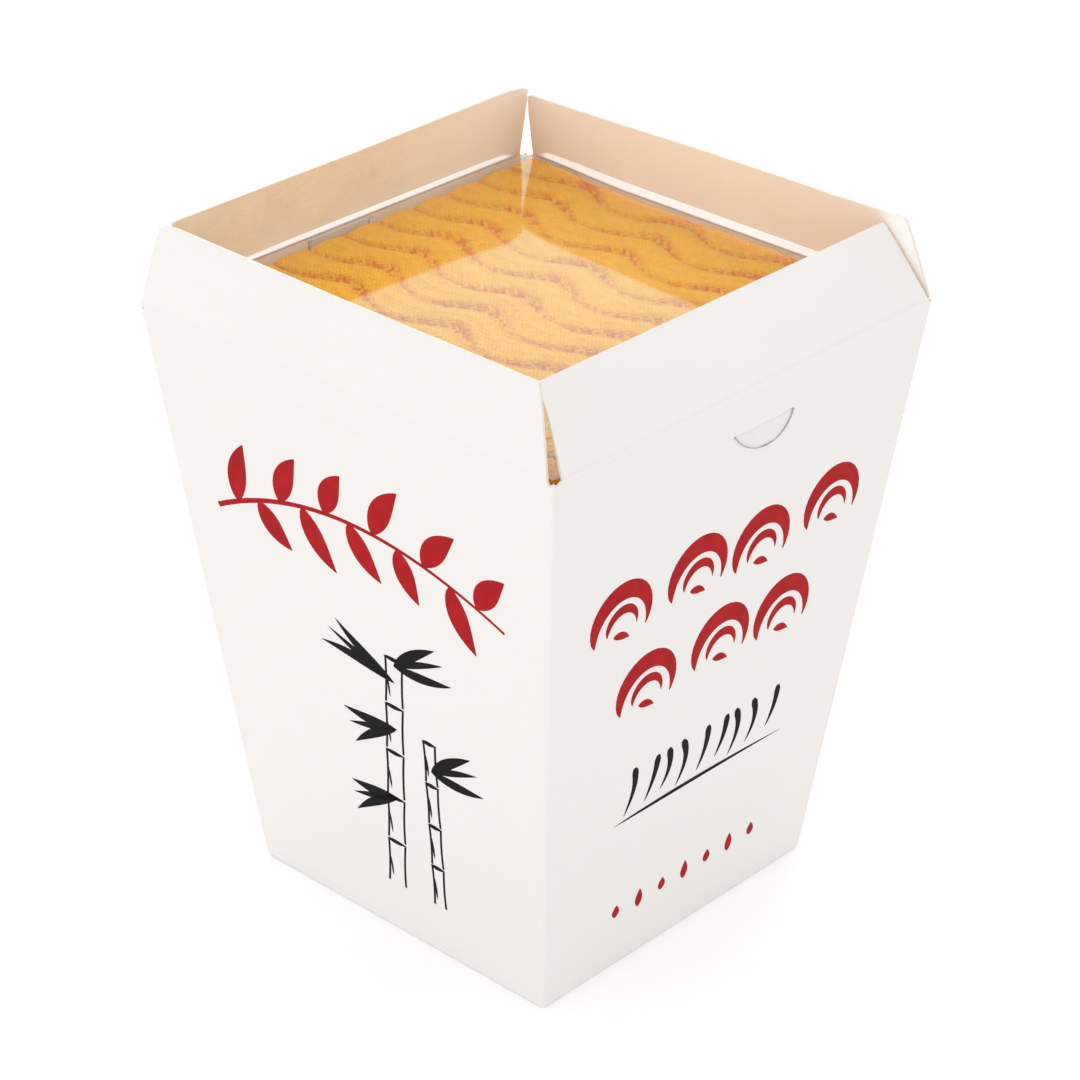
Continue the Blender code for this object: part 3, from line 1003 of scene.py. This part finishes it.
def knit_place(across, along, settings):
    """The point of the folded knit's surface at these flat places, and its share of crown."""
    x, drop_x, flat_x = rolled(across, ROLLS["+x"], ROLLS["-x"])
    y, drop_y, flat_y = rolled(along, ROLLS["+y"], ROLLS["-y"])
    relief, crown = rib_relief(across, along, settings)
    lying = flat_x * flat_y
    drop = math.hypot(drop_x, drop_y)
    height = settings.crown + lid_rise(across, along) - drop + relief * (0.3 + 0.7 * lying)
    x, y = corner_rounded(x, y)
    narrowed = half_width(height) / half_width(KNIT_LEVEL)
    return Vector((x * narrowed, y * narrowed, height)), crown


def knit_frame(across, along, settings):
    """The knit's point, the way that it faces there, and its share of crown."""
    step = 0.3 * MM
    point, crown = knit_place(across, along, settings)
    beside, before, ahead, behind = (
        knit_place(across + dx * step, along + dy * step, settings)[0]
        for dx, dy in ((1, 0), (-1, 0), (0, 1), (0, -1))
    )
    return point, (beside - before).cross(ahead - behind).normalized(), crown


def flat_reach(plus, minus, hang):
    """How far the flat knit reaches to either side, with this much of it hanging straight down."""
    low, high = (
        KNIT_INSIDE - roll.gap - roll.radius + roll.radius * math.pi / 2 + hang for roll in (minus, plus)
    )
    return -low, high


def build_cloth(settings):
    """The folded socks' cloth: the ribbed top, rolled over its edges and tucked down beside the panels."""
    low_x, high_x = flat_reach(ROLLS["+x"], ROLLS["-x"], 2.0 * MM)
    low_y, high_y = flat_reach(ROLLS["+y"], ROLLS["-y"], 2.0 * MM)
    columns, rows = 130, 120
    bm = bmesh.new()
    crown_layer = float_layer(bm, "crown")
    tone_layer = float_layer(bm, "tone")
    grid = []
    for i in range(columns + 1):
        line = []
        for j in range(rows + 1):
            across = low_x + (high_x - low_x) * i / columns
            along = low_y + (high_y - low_y) * j / rows
            point, facing, crown = knit_frame(across, along, settings)
            vert = bm.verts.new(point + facing * 0.1 * MM)
            # The furrows take their painted shade through the crown share.
            vert[crown_layer] = 1 - 0.8 * (1 - crown)
            vert[tone_layer] = 0.4
            line.append(vert)
        grid.append(line)
    for first, second in zip(grid, grid[1:]):
        joined(bm, first, second)
    edge = [rim for rim in bm.edges if rim.is_boundary]
    for height in TUCKED_LEVELS:
        made = bmesh.ops.extrude_edge_only(bm, edges=edge)["geom"]
        for vert in (item for item in made if isinstance(item, bmesh.types.BMVert)):
            shrink = (half_width(height) - 1.0 * MM) / (half_width(vert.co.z) - 1.0 * MM)
            vert.co = Vector((vert.co.x * shrink, vert.co.y * shrink, height))
            # Painted shade on the sides that are tucked down beside the panels.
            vert[crown_layer] = 0.6
            vert[tone_layer] = 0.3
        edge = [item for item in made if isinstance(item, bmesh.types.BMEdge) and item.is_boundary]
    bmesh.ops.recalc_face_normals(bm, faces=bm.faces)
    # Extruded faces come in another order on each run, so they are sorted
    bm.verts.index_update()
    bm.faces.sort(key=lambda face: sum(vert.index**2 for vert in face.verts))
    cloth = bmesh_object("sock_cloth", bm, [material_named("dyed_yarn", yarn_material, settings)])
    thickened(cloth, 0.9 * MM, even=False)
    return smoothed(cloth, 60)


def stitch_tree(material):
    """Geometry nodes that set a V of two yarn legs on every point of a mesh, facing as its attribute says."""
    tree = bpy.data.node_groups.new("knit_stitches", "GeometryNodeTree")
    for name, kind, default in (
        ("Geometry", "NodeSocketGeometry", None),
        ("Leg length", "NodeSocketFloat", 1.5 * MM),
        ("Leg width", "NodeSocketFloat", 0.56 * MM),
        ("Leg height", "NodeSocketFloat", 0.6 * MM),
        ("Spread", "NodeSocketFloat", 0.28 * MM),
        ("Lean", "NodeSocketFloat", 0.58),
        ("Unevenness", "NodeSocketFloat", 0.12),
        ("Seed", "NodeSocketInt", 0),
    ):
        socket = tree.interface.new_socket(name=name, in_out="INPUT", socket_type=kind)
        if default is not None:
            socket.default_value = default
    tree.interface.new_socket(name="Geometry", in_out="OUTPUT", socket_type="NodeSocketGeometry")
    graph = Graph(tree)
    given = graph.node("NodeGroupInput")
    points = graph.node("GeometryNodeMeshToPoints", {}, {"Mesh": given.other("Geometry")})
    seed = given.other("Seed")
    ball = graph.node("GeometryNodeMeshUVSphere", {}, {"Segments": 5, "Rings": 4, "Radius": 0.5})
    size = graph.node(
        "ShaderNodeCombineXYZ",
        {},
        {"X": given.other("Leg width"), "Y": given.other("Leg height"), "Z": given.other("Leg length")},
    )
    leg = graph.node("GeometryNodeTransform", {}, {"Geometry": ball, "Scale": size})
    flat_leg = graph.node("GeometryNodeTransform", {}, {"Geometry": leg, "Rotation": (math.pi / 2, 0.0, 0.0)})
    legs = []
    for hand in (-1.0, 1.0):
        shift = graph.node("ShaderNodeCombineXYZ", {}, {"X": given.other("Spread") * hand})
        lean = graph.node("ShaderNodeCombineXYZ", {}, {"Z": given.other("Lean") * -hand})
        turned_leg = {"Geometry": flat_leg, "Translation": shift, "Rotation": lean}
        legs.append(graph.node("GeometryNodeTransform", {}, turned_leg))
    stitch = graph.node("GeometryNodeJoinGeometry")
    for leg in reversed(legs):
        tree.links.new(leg.socket, stitch.node.inputs[0])
    uneven = given.other("Unevenness")
    sizes = {"Min_001": 1.0 - uneven, "Max_001": 1.0 + uneven, "Seed": seed}
    scale = graph.node("FunctionNodeRandomValue", {"data_type": "FLOAT"}, sizes, output=1)
    normal = graph.node("GeometryNodeInputNamedAttribute", {"data_type": "FLOAT_VECTOR"}, {"Name": "facing"})
    frame_of = graph.node(
        "FunctionNodeAxesToRotation",
        {"primary_axis": "Z", "secondary_axis": "Y"},
        {"Primary Axis": normal, "Secondary Axis": (0.0, 1.0, 0.0)},
    )
    placed = graph.node(
        "GeometryNodeInstanceOnPoints",
        {},
        {"Points": points, "Instance": stitch, "Rotation": frame_of, "Scale": scale},
    )
    tone = graph.node("FunctionNodeRandomValue", {"data_type": "FLOAT"}, {"Seed": seed + 1.0}, output=1)
    toned = graph.node(
        "GeometryNodeStoreNamedAttribute",
        {"data_type": "FLOAT", "domain": "INSTANCE"},
        {"Geometry": placed, "Name": "tone", "Value": tone},
    )
    real = graph.node("GeometryNodeRealizeInstances", {}, {"Geometry": toned})
    smooth = graph.node("GeometryNodeSetShadeSmooth", {}, {"Geometry": real})
    dressed = graph.node("GeometryNodeSetMaterial", {}, {"Geometry": smooth, "Material": material})
    graph.node("NodeGroupOutput", {}, {"Geometry": dressed})
    return tree


def build_stitches(number, share_from, share_to, tree, settings):
    """The stitches of one band of the knit, from one share of its width to another."""
    low_x, high_x = flat_reach(ROLLS["+x"], ROLLS["-x"], 1.5 * MM)
    low_y, high_y = flat_reach(ROLLS["+y"], ROLLS["-y"], 1.5 * MM)
    columns = round((high_x - low_x) / settings.wale)
    rows = round((high_y - low_y) / settings.course)
    mesh = bpy.data.meshes.new(f"knit_{number}")
    places = []
    crowns = []
    normals = []
    for i in range(round(columns * share_from), round(columns * share_to)):
        for j in range(rows):
            across = low_x + (i + 0.5) * settings.wale
            along = low_y + (j + 0.5) * settings.course
            point, facing, crown = knit_frame(across, along, settings)
            uneven = math.sin(i * 12.9898 + j * 78.233 + settings.seed) * 43758.5453
            uneven -= math.floor(uneven)
            # Painted shadow: a random share of the stitches in a furrow gets a lower crown share, which darkens
            # it, and sinks a little.
            dark = smooth_step((0.58 - uneven) * 8)
            sunk = (1 - crown) * (0.35 * dark - 0.32) * MM
            places.append(point - facing * sunk)
            crowns.append(max(1 - (1 - crown) * (0.1 + 1.5 * dark), 0.0))
            normals.append(facing)
    mesh.from_pydata(places, [], [])
    mesh.attributes.new("crown", "FLOAT", "POINT").data.foreach_set("value", crowns)
    mesh.attributes.new("facing", "FLOAT_VECTOR", "POINT").data.foreach_set(
        "vector", [value for normal in normals for value in normal]
    )
    knit = mesh_object(f"knit_{number}", mesh, [])
    nodes = knit.modifiers.new("stitches", "NODES")
    nodes.node_group = tree
    sockets = {item.name: item.identifier for item in tree.interface.items_tree if item.in_out == "INPUT"}
    nodes[sockets["Seed"]] = settings.seed + number
    nodes[sockets["Leg length"]] = settings.course * 1.9
    nodes[sockets["Leg width"]] = settings.wale * 0.62
    nodes[sockets["Spread"]] = settings.wale * 0.25
    return baked(knit)


def stroke(spine, widths):
    """The two edges of a brush mark whose middle runs through these points, with these half widths."""
    left = []
    right = []
    for number, (x, z) in enumerate(spine):
        before = spine[max(number - 1, 0)]
        after = spine[min(number + 1, len(spine) - 1)]
        dx, dz = after[0] - before[0], after[1] - before[1]
        length = math.hypot(dx, dz) or 1.0
        nx, nz = -dz / length, dx / length
        width = widths[number]
        left.append((x + nx * width, z + nz * width))
        right.append((x - nx * width, z - nz * width))
    return left, right


def curved(start, control, end, steps=14):
    """Points of a quadratic curve."""
    points = []
    for number in range(steps + 1):
        t = number / steps
        a, b, c = (1 - t) ** 2, 2 * t * (1 - t), t * t
        points.append(tuple(a * s + b * m + c * e for s, m, e in zip(start, control, end)))
    return points


def leaf(start, end, width, bend=0.0, steps=14):
    """A brush leaf: pointed at both ends, fullest before its middle."""
    middle = [(s + e) / 2 for s, e in zip(start, end)]
    across = (-(end[1] - start[1]) * bend, (end[0] - start[0]) * bend)
    spine = curved(start, (middle[0] + across[0], middle[1] + across[1]), end, steps)
    shares = [number / steps for number in range(steps + 1)]
    return stroke(spine, [width / 2 * max(math.sin(math.pi * t**0.8), 0.02) ** 0.85 for t in shares])


def sweep(start, control, end, width, steps=16):
    """A brush sweep: blunt where the brush lands and drawn out to a thin end."""
    spine = curved(start, control, end, steps)
    shares = [number / steps for number in range(steps + 1)]
    return stroke(spine, [width / 2 * max((1 - t) ** 0.6 * min(0.45 + 5 * t, 1.0), 0.03) for t in shares])


def crescent(centre, radius, width, start=200, end=-20, steps=22):
    """A brush arc over a centre, fullest past its top."""
    spine = []
    widths = []
    for number in range(steps + 1):
        t = number / steps
        angle = math.radians(start + (end - start) * t)
        spine.append((centre[0] + radius * math.cos(angle), centre[1] + radius * math.sin(angle)))
        widths.append(width / 2 * max(math.sin(math.pi * t**0.85), 0.03) ** 0.75)
    return stroke(spine, widths)


def wave_panel():
    """Brush waves in two rows over black reeds and a line of small lozenges, in millimetres on the panel."""
    red = []
    for count, base in ((4, 84.0), (3, 65.0)):
        for number in range(count):
            odd = number % 2
            centre = ((number - (count - 1) / 2) * 19.2 + (0.7 if odd else -0.5), base + 1.2 * odd)
            red.append(crescent(centre, 7.2, 4.0))
            red.append(crescent((centre[0] + 0.3, centre[1] - 0.8), 3.9, 2.0, 190, -5))
            eye = (centre[0] - 1.8, centre[1] - 2.2), (centre[0] + 2.6, centre[1] - 3.6)
            red.append(leaf(*eye, 1.7, 0.15))
    for number in range(7):
        x = (number - 3) * 6.6
        tall = 2.2 if number % 2 else 1.5
        red.append(leaf((x, 14.0 - tall), (x, 14.0 + tall), 2.0))
    black = []
    for number in range(9):
        x = -20.0 + number * 5.0
        sway = 1.6 * math.sin(number * 1.7)
        foot = (x - 1.4 + sway * 0.4, 37.5 + 0.8 * (number % 3))
        black.append(sweep((x + sway, 48.0), (x + 1.8, 43.5), foot, 1.9))
    black.append(leaf((-24.0, 36.2), (24.5, 36.0), 0.9, 0.02))
    return red, black


def branch_panel():
    """A red leafy branch over black bamboo, in millimetres on the panel."""
    stem = curved((-37.0, 84.0), (-2.0, 103.0), (37.0, 85.5), 24)
    red = [stroke(stem, [0.55 - 0.25 * number / 24 for number in range(25)])]
    for number in range(1, 12):
        root = stem[2 * number]
        up = 1 if number % 2 else -1
        reach = 12.5 + 1.5 * math.sin(number * 2.1)
        angle = math.radians(58 * up + 4 * math.sin(number * 1.3)) - 0.14 * (number - 6) * 0.35
        tip = (root[0] + reach * math.cos(angle), root[1] + reach * math.sin(angle))
        red.append(leaf(root, tip, 5.0, 0.12 * up))
    black = []
    black += bamboo_stalk((1.0, 12.0), (7.5, 68.0), 4.4, 5)
    black += bamboo_stalk((12.5, 12.0), (14.5, 52.0), 3.0, 4)
    twigs = (
        ((6.9, 62.0), (-7.5, 70.5), (-12.0, 64.0)),
        ((6.0, 51.0), (-8.0, 50.5), (-6.0, 43.0)),
        ((14.2, 45.0), (25.0, 52.5), (27.5, 45.0)),
        ((7.2, 66.0), (18.5, 74.0), (22.0, 67.5)),
        ((4.0, 34.0), (-8.5, 33.0), (-8.0, 26.0)),
    )
    for root, first, second in twigs:
        between = ((first[0] + second[0]) / 2, (first[1] + second[1]) / 2 + 0.6)
        black.append(leaf(root, first, 2.3, 0.08))
        black.append(leaf(root, second, 2.1, -0.08))
        black.append(leaf(root, between, 1.5, 0.03))
    return red, black


def bamboo_stalk(foot, top, girth, joints):
    """Outlined lengths of cane with a dark ring at each joint."""
    marks = []
    for number in range(joints):
        low = [f + (t - f) * number / joints for f, t in zip(foot, top)]
        high = [f + (t - f) * (number + 0.94) / joints for f, t in zip(foot, top)]
        for hand in (-1, 1):
            start = (low[0] + hand * girth / 2, low[1])
            end = (high[0] + hand * girth / 2, high[1])
            waist = ((start[0] + end[0]) / 2 - hand * 0.35, (start[1] + end[1]) / 2)
            marks.append(stroke(curved(start, waist, end, 10), [0.26] * 11))
        left = (high[0] - girth / 2 - 0.4, high[1] + 0.2)
        right = (high[0] + girth / 2 + 0.4, high[1] + 0.2)
        marks.append(leaf(left, right, 1.0, -0.06, 8))
        shade = (low[0] - girth * 0.2, low[1] + 1.5), (low[0] - girth * 0.24, low[1] + 6.5)
        marks.append(leaf(*shade, 0.5, 0.0, 6))
    return marks


def build_print(name, marks_by_side, material, settings, board):
    """Brush marks as a thin coat of ink that follows the swollen panels."""
    bm = bmesh.new()
    for side_name, marks in marks_by_side.items():
        side = SIDES[side_name]
        for left, right in marks:
            first, second = (
                [bm.verts.new(on_panel(side, x * MM, z * MM, board, settings.ink)) for x, z in edge]
                for edge in (left, right)
            )
            joined(bm, first, second)
    outward = Vector((0, 0, 0))
    for face in bm.faces:
        face.normal_update()
        centre = face.calc_center_median()
        outward.x, outward.y = centre.x, centre.y
        if face.normal.dot(outward) < 0:
            face.normal_flip()
    ink = bmesh_object(name, bm, [material])
    thickened(ink, settings.ink * 1.4)
    return ink


class CARTON_OT_body(bpy.types.Operator):
    """Builds the carton's panels and base with their slits"""

    bl_idname = "carton.body"
    bl_label = "Build carton body"

    def execute(self, context):
        body = build_body(context.scene.carton_board)
        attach(body, "carton")
        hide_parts("carton_body")
        return {"FINISHED"}


class CARTON_OT_collar(bpy.types.Operator):
    """Builds the four collar flaps, each bending at its crease"""

    bl_idname = "carton.collar"
    bl_label = "Build collar flaps"

    def execute(self, context):
        for name, side in SIDES.items():
            collar = build_collar(name, side, context.scene.carton_board)
            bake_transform(collar)
            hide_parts(f"flap_{name}")
        return {"FINISHED"}


class CARTON_OT_film(bpy.types.Operator):
    """Builds the clear film lid and its locking tongues"""

    bl_idname = "carton.film"
    bl_label = "Build film lid"

    def execute(self, context):
        settings = context.scene.carton_film
        board = context.scene.carton_board
        tongued = [(name, side) for name, side in SIDES.items() if side.tongue is not None]
        pieces = [build_film(settings)] + [build_tongue(*which, settings, board) for which in tongued]
        for piece in pieces:
            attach(piece, "carton")
            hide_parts("film_lid")
        return {"FINISHED"}


class CARTON_OT_socks(bpy.types.Operator):
    """Builds the folded socks' cloth and the stitches of its top"""

    bl_idname = "carton.socks"
    bl_label = "Knit the socks"

    def execute(self, context):
        settings = context.scene.carton_knit
        cloth = build_cloth(settings)
        tree = stitch_tree(bpy.data.materials["dyed_yarn"])
        bands = 4
        knits = [build_stitches(n + 1, n / bands, (n + 1) / bands, tree, settings) for n in range(bands)]
        for piece in (cloth, *knits):
            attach(piece, "carton")
            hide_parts("folded_socks")
        return {"FINISHED"}


class CARTON_OT_print(bpy.types.Operator):
    """Prints the brush marks on the four panels"""

    bl_idname = "carton.print"
    bl_label = "Print the panels"

    def execute(self, context):
        settings = context.scene.carton_print
        colours = (("red_ink", settings.red), ("black_ink", settings.black))
        for (name, colour), waves, branches in zip(colours, wave_panel(), branch_panel()):
            marks = {"front": waves, "back": waves, "left": branches, "right": branches}
            material = material_named(name, ink_material, name, colour)
            ink = build_print(name, marks, material, settings, context.scene.carton_board)
            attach(ink, "carton")
        return {"FINISHED"}


class CARTON_OT_stage(bpy.types.Operator):
    """Builds the floor, the lights and the camera"""

    bl_idname = "carton.stage"
    bl_label = "Set the stage"

    def execute(self, context):
        settings = context.scene.carton_stage
        build_floor()
        build_lights(settings)
        build_camera(settings)
        context.scene.view_settings.view_transform = "Standard"
        return {"FINISHED"}


def build_floor():
    bm = bmesh.new()
    bmesh.ops.create_grid(bm, x_segments=1, y_segments=1, size=4.0)
    bmesh_object("floor", bm, [floor_material()])


def build_lights(settings):
    """White surroundings, a wide light behind that the film mirrors, one on the left, a small one above."""
    world = bpy.data.worlds.new("white_surroundings")
    world.use_nodes = True
    world.node_tree.nodes.clear()
    graph = Graph(world.node_tree)
    sky = graph.node("ShaderNodeBackground", {}, {"Color": WHITE, "Strength": settings.sky})
    graph.node("ShaderNodeOutputWorld", {}, {"Surface": sky})
    bpy.context.scene.world = world
    level = Vector((math.sin(-settings.azimuth), math.cos(settings.azimuth), 0.0))
    away = (level + Vector((0, 0, math.tan(settings.elevation)))).normalized()
    for name, place, size, power in (
        ("back_light", Vector((0, 0, 0.12)) + away * 1.6, 1.9, settings.back_light),
        ("left_light", Vector((-1.6, 0.25, 0.5)), 1.0, settings.left_light),
        ("fill_light", Vector((0, 0, 0.205)), 0.07, settings.fill_light),
    ):
        light = bpy.data.lights.new(name, "AREA")
        light.energy = power
        light.size = size
        lamp = bpy.data.objects.new(name, light)
        lamp.location = place
        aim = Vector((0, 0, 0.10)) - place
        lamp.rotation_euler = aim.to_track_quat("-Z", "Y").to_euler()
        lamp.visible_camera = False
        lamp.visible_glossy = name != "fill_light"
        bpy.context.scene.collection.objects.link(lamp)


def build_camera(settings):
    """The photograph's camera: its place, its turn about the view, and its lens."""
    a, e = settings.azimuth, settings.elevation
    forward = Vector((-math.sin(a) * math.cos(e), math.cos(a) * math.cos(e), -math.sin(e)))
    target = Vector((math.cos(a) * 0.76 * MM, math.sin(a) * 0.76 * MM, 71.45 * MM))
    data = bpy.data.cameras.new("camera")
    data.sensor_width = 36.0
    data.lens = settings.lens
    data.clip_start = 0.01
    camera = bpy.data.objects.new("camera", data)
    bpy.context.scene.collection.objects.link(camera)
    camera.location = target - forward * settings.distance
    level = forward.to_track_quat("-Z", "Y")
    camera.rotation_mode = "QUATERNION"
    camera.rotation_quaternion = level @ Matrix.Rotation(settings.roll, 4, "Z").to_quaternion()
    bpy.context.scene.camera = camera


OPERATORS = (
    CARTON_OT_body, CARTON_OT_collar, CARTON_OT_film, CARTON_OT_socks, CARTON_OT_print, CARTON_OT_stage,
)


class CARTON_PT_panel(bpy.types.Panel):
    """Lists the carton's pieces and their sizes"""

    bl_idname = "CARTON_PT_panel"
    bl_label = "Noodle Takeaway Carton"
    bl_space_type = "VIEW_3D"
    bl_region_type = "UI"
    bl_category = "Carton"

    def draw(self, context):
        for operator in OPERATORS:
            self.layout.operator(operator.bl_idname)
        for name, group in GROUPS.items():
            box = self.layout.box()
            for prop in group.__annotations__:
                box.prop(getattr(context.scene, name), prop)


CLASSES = (*GROUPS.values(), *OPERATORS, CARTON_PT_panel)


def register():
    for cls in CLASSES:
        bpy.utils.register_class(cls)
    for name, group in GROUPS.items():
        setattr(bpy.types.Scene, name, PointerProperty(type=group))


def unregister():
    for name in GROUPS:
        delattr(bpy.types.Scene, name)
    for cls in reversed(CLASSES):
        bpy.utils.unregister_class(cls)


def main():
    register()
    bpy.ops.carton.body()
    bpy.ops.carton.collar()
    bpy.ops.carton.film()
    bpy.ops.carton.socks()
    bpy.ops.carton.print()
    bpy.ops.carton.stage()


if __name__ == "__main__":
    main()
